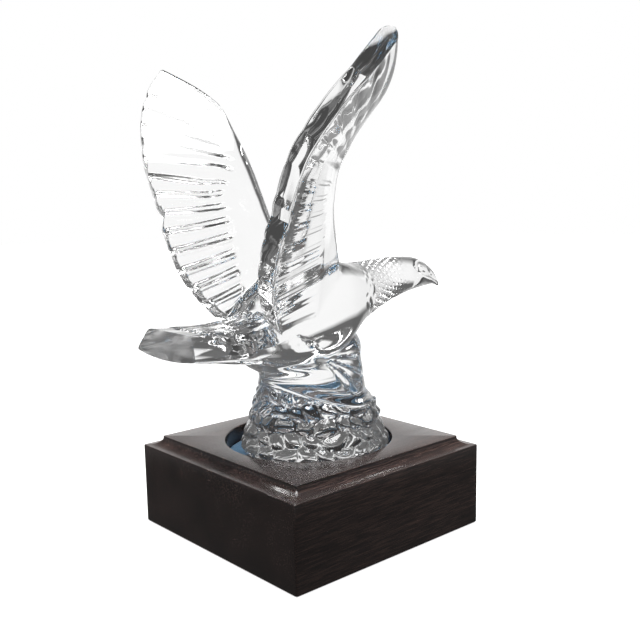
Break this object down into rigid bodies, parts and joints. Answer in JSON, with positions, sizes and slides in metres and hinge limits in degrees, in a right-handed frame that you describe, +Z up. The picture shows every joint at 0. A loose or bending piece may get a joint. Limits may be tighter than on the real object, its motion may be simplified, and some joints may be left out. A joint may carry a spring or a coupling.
{
  "type": "crystal eagle figurine",
  "caption": "Clear moulded crystal eagle with raised wings on a facetted rock, standing in the round felt-lined recess of a square dark wooden plinth.",
  "frame": {"origin": "centre of the plinth's underside", "axes": "+Z up, +X the way the eagle faces, +Y towards its left wing"},
  "size_m": [0.172, 0.163, 0.2198],
  "materials": {
    "wood": "dark mahogany, satin lacquer over fine open grain",
    "felt": "short blue felt",
    "crystal": "clear polished lead crystal"
  },
  "bodies": {
    "root": {"wood_plinth": "wood", "felt_liner": "felt", "crystal_eagle": "crystal"}
  },
  "joints": []
}
